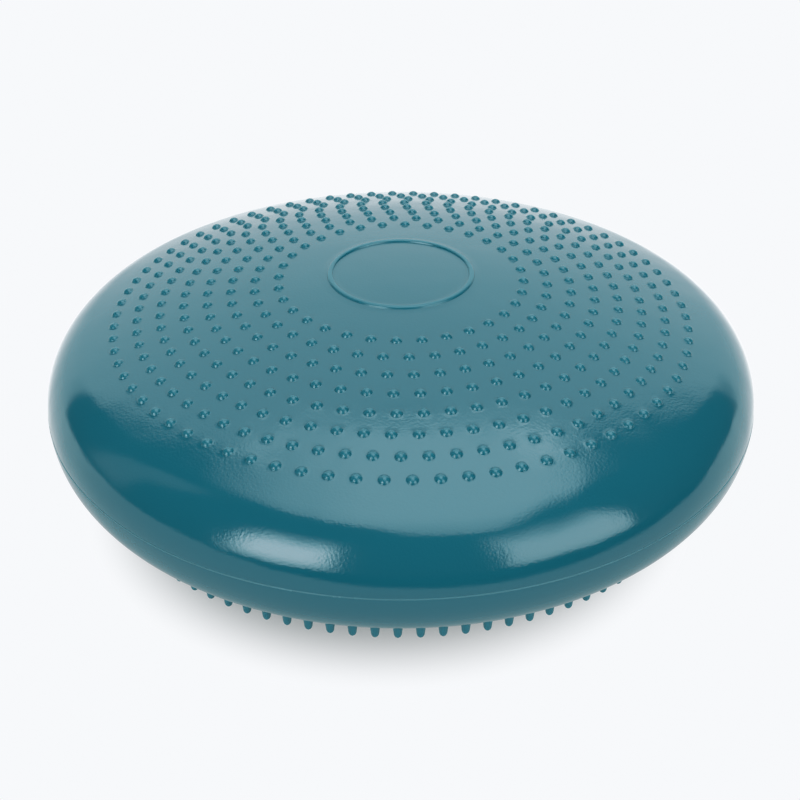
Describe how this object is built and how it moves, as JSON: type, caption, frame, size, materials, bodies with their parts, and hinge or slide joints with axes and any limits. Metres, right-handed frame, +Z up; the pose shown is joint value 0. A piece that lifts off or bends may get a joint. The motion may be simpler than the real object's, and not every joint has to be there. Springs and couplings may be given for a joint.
{
  "type": "inflatable wobble cushion",
  "caption": "Air-filled round balance disc with a domed nubbed top, soft pins underneath and a needle valve in its rim.",
  "frame": {"origin": "on the floor plane, under the centre of the disc; the tips of the inner ring of pins are at Z = 0", "axes": "+Z up, -Y towards the front of the disc, +Y out through the valve in the rim"},
  "size_m": [0.3304, 0.3302, 0.1206],
  "materials": {
    "upper_skin": "glossy soft vinyl with a faint orange-peel surface",
    "lower_skin": "glossy soft vinyl with a faint orange-peel surface",
    "seam": "weld bead, slightly lighter and less glossy than the skin",
    "valve": "satin moulded rubber",
    "core": "matt soft rubber",
    "plug": "satin moulded rubber"
  },
  "bodies": {
    "base": {"bottom_face": "lower_skin"},
    "rim": {"lower_wall": "lower_skin", "rim_seam": "seam", "upper_wall": "upper_skin", "valve_body": "valve", "valve_core": "core"},
    "seat": {"top_face": "upper_skin"},
    "plug": {"valve_plug": "plug"}
  },
  "joints": [
    {"name": "rock_fore_aft", "type": "hinge", "parent": "base", "child": "rim", "pos_m": [0, 0, 0.0364], "axis": [1, 0, 0], "range_deg": [-6, 6], "stiffness_Nm_per_rad": 15},
    {"name": "rock_sideways", "type": "hinge", "parent": "rim", "child": "seat", "pos_m": [0, 0, 0.0899], "axis": [0, 1, 0], "range_deg": [-6, 6], "stiffness_Nm_per_rad": 15},
    {"name": "plug_pull", "type": "slide", "parent": "rim", "child": "plug", "axis": [0, 1, 0], "range_m": [0, 0.045]}
  ]
}
